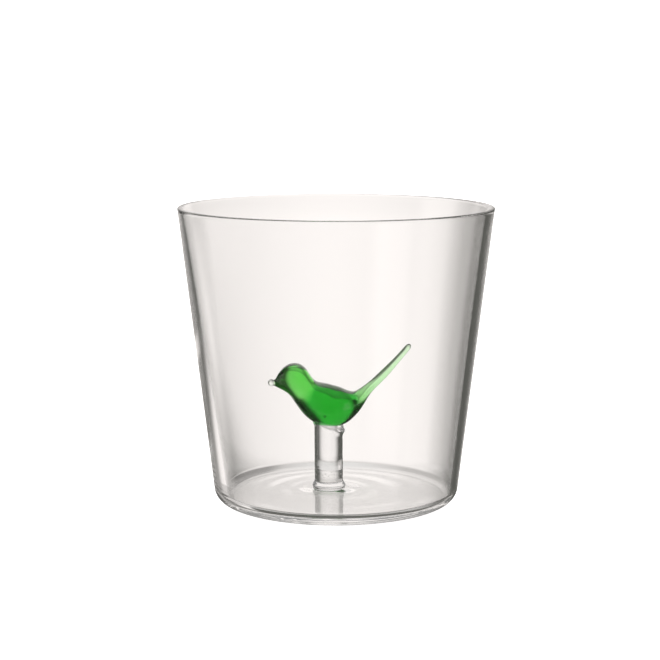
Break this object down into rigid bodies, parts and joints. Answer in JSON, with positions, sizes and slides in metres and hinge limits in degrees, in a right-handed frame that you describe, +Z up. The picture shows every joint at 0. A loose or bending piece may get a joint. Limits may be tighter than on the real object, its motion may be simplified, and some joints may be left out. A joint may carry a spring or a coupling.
{
  "type": "drinking glass with a bird figurine inside",
  "caption": "Tapered clear glass tumbler with a small green glass bird standing on a short clear glass post fused to its floor.",
  "frame": {"origin": "centre of the vessel's underside, on the surface that it stands on", "axes": "+Z up along the vessel's axis; the bird stands along X with its beak towards -X and its tail towards +X, 4 mm behind the vessel's axis, at Y = +4 mm"},
  "size_m": [0.09, 0.09, 0.085],
  "materials": {
    "clear_glass": "fire-polished clear borosilicate",
    "green_glass": "transparent green, dark where it is thick and light where it is thin",
    "pale_glass": "nearly clear glass with a green tint"
  },
  "bodies": {
    "root": {"tumbler_vessel": "clear_glass", "post_rod": "clear_glass", "post_foot_weld": "clear_glass", "post_top_weld": "clear_glass", "bird_body": "green_glass", "bird_head": "green_glass", "bird_tail": "green_glass", "bird_beak_tip": "pale_glass"}
  },
  "joints": []
}
